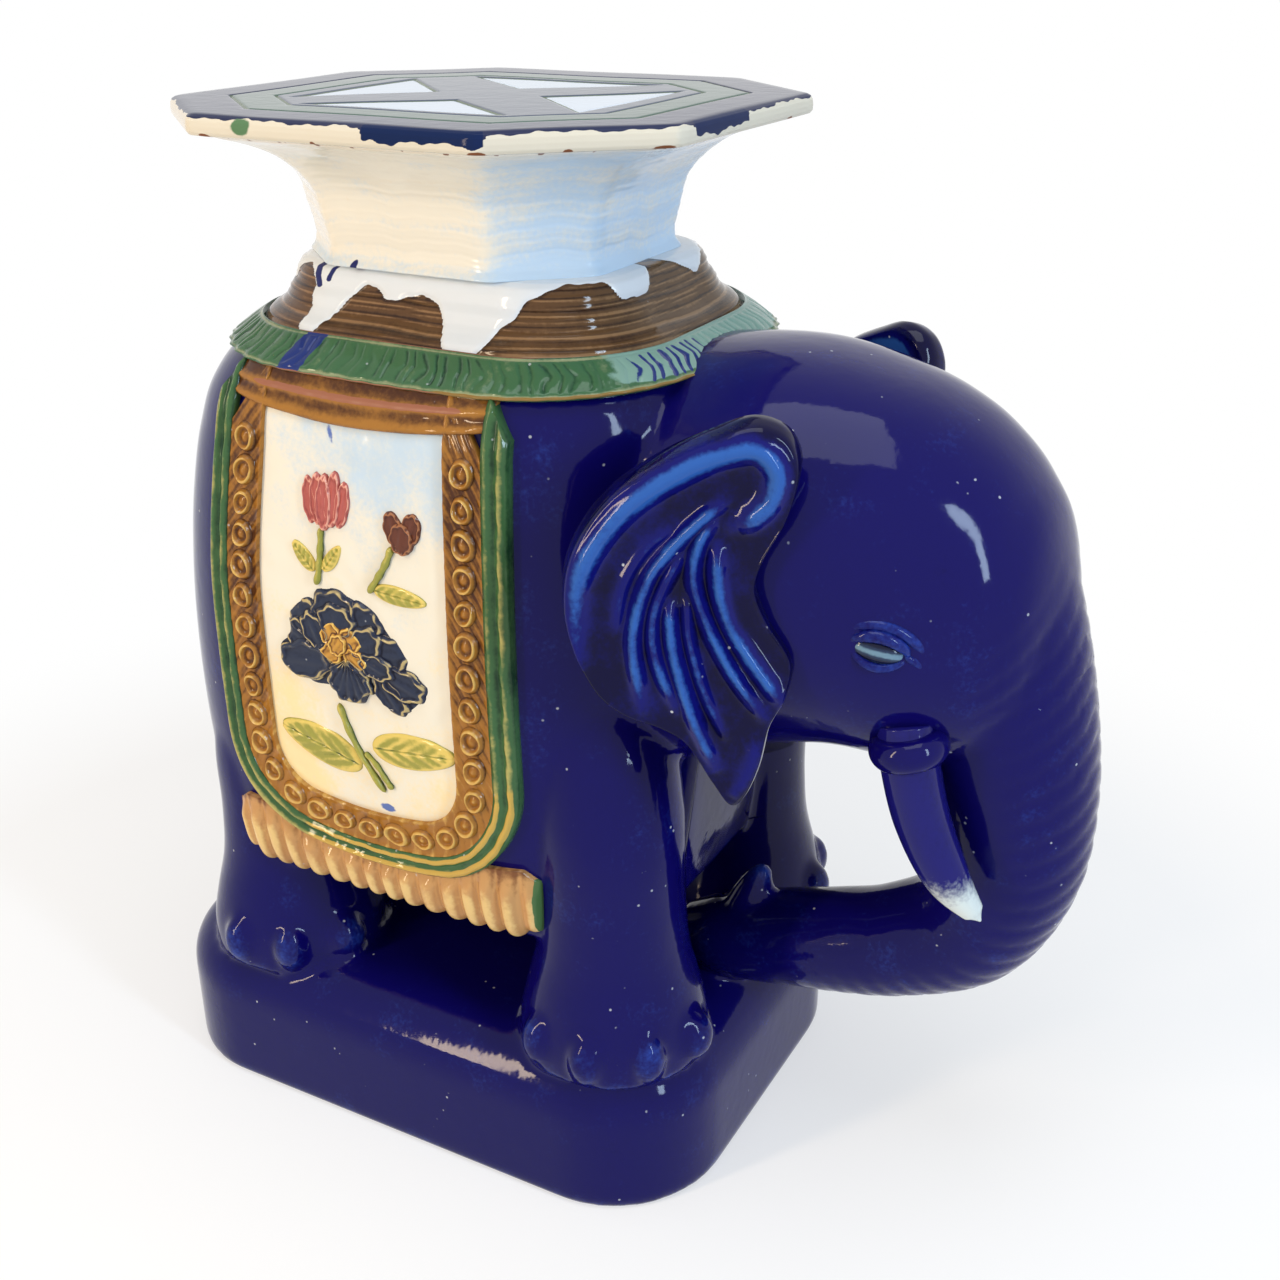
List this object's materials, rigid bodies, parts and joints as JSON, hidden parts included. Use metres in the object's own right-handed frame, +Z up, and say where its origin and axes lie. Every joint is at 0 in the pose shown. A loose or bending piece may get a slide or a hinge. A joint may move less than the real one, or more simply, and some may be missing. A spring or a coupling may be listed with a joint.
{
  "type": "elephant garden stool",
  "caption": "Glazed ceramic stool shaped as a standing elephant with a saddle cloth, carrying an octagonal seat on a waisted neck.",
  "frame": {"origin": "on the floor, in the plane of the plinth's foot, straight below the middle of the seat", "axes": "+X the way the elephant looks, +Y to the elephant's left side, +Z up"},
  "size_m": [0.5247, 0.2756, 0.56],
  "materials": {
    "cobalt_glaze": "deep cobalt blue gloss glaze, lighter on ridges",
    "ear_glaze": "cobalt blue gloss glaze that breaks pale on the folds",
    "tusk_glaze": "blue gloss glaze that thins to white at the tip",
    "eye_glaze": "blue green gloss glaze",
    "saddle_glaze": "brown gloss glaze with white drips",
    "collar_glaze": "green gloss glaze over incised clay, with blue spots",
    "neck_glaze": "cream white gloss glaze",
    "seat_glaze": "slate blue, green and white gloss glazes on an incised top",
    "cloth_ground": "white gloss glaze with fine crazing",
    "border_glaze": "honey brown gloss glaze",
    "rim_glaze": "green gloss glaze",
    "fringe_glaze": "ochre gloss glaze",
    "peony_glaze": "dark blue gloss glaze",
    "heart_glaze": "yellow gloss glaze",
    "tulip_glaze": "red gloss glaze",
    "bud_glaze": "brown gloss glaze",
    "leaf_glaze": "green gloss glaze"
  },
  "bodies": {
    "root": {"plinth": "cobalt_glaze", "leg_front_right": "cobalt_glaze", "leg_front_left": "cobalt_glaze", "leg_rear_right": "cobalt_glaze", "leg_rear_left": "cobalt_glaze", "toenails_front_right": "cobalt_glaze", "toenails_front_left": "cobalt_glaze", "toenails_rear_right": "cobalt_glaze", "toenails_rear_left": "cobalt_glaze", "body_shell_right": "cobalt_glaze", "body_shell_left": "cobalt_glaze", "head_shell_right": "cobalt_glaze", "head_shell_left": "cobalt_glaze", "trunk_upper": "cobalt_glaze", "trunk_lower": "cobalt_glaze", "trunk_tip": "cobalt_glaze", "tusk_right": "tusk_glaze", "tusk_left": "tusk_glaze", "tusk_socket_right": "cobalt_glaze", "tusk_socket_left": "cobalt_glaze", "ear_right": "ear_glaze", "ear_left": "ear_glaze", "eyeball_right": "eye_glaze", "eyeball_left": "eye_glaze", "eyelids_right": "cobalt_glaze", "eyelids_left": "cobalt_glaze", "tail": "cobalt_glaze", "saddle_platform": "saddle_glaze", "saddle_collar": "collar_glaze", "seat_pedestal": "neck_glaze", "seat_slab": "seat_glaze", "cloth_panel_right": "cloth_ground", "cloth_panel_left": "cloth_ground", "cloth_border_right": "border_glaze", "cloth_border_left": "border_glaze", "cloth_rim_right": "rim_glaze", "cloth_rim_left": "rim_glaze", "cloth_fringe_right": "fringe_glaze", "cloth_fringe_left": "fringe_glaze", "border_beads_right": "border_glaze", "border_beads_left": "border_glaze", "peony_right": "peony_glaze", "peony_left": "peony_glaze", "peony_heart_right": "heart_glaze", "peony_heart_left": "heart_glaze", "tulip_right": "tulip_glaze", "tulip_left": "tulip_glaze", "flower_bud_right": "bud_glaze", "flower_bud_left": "bud_glaze", "stem_and_leaves_right": "leaf_glaze", "stem_and_leaves_left": "leaf_glaze"}
  },
  "joints": []
}
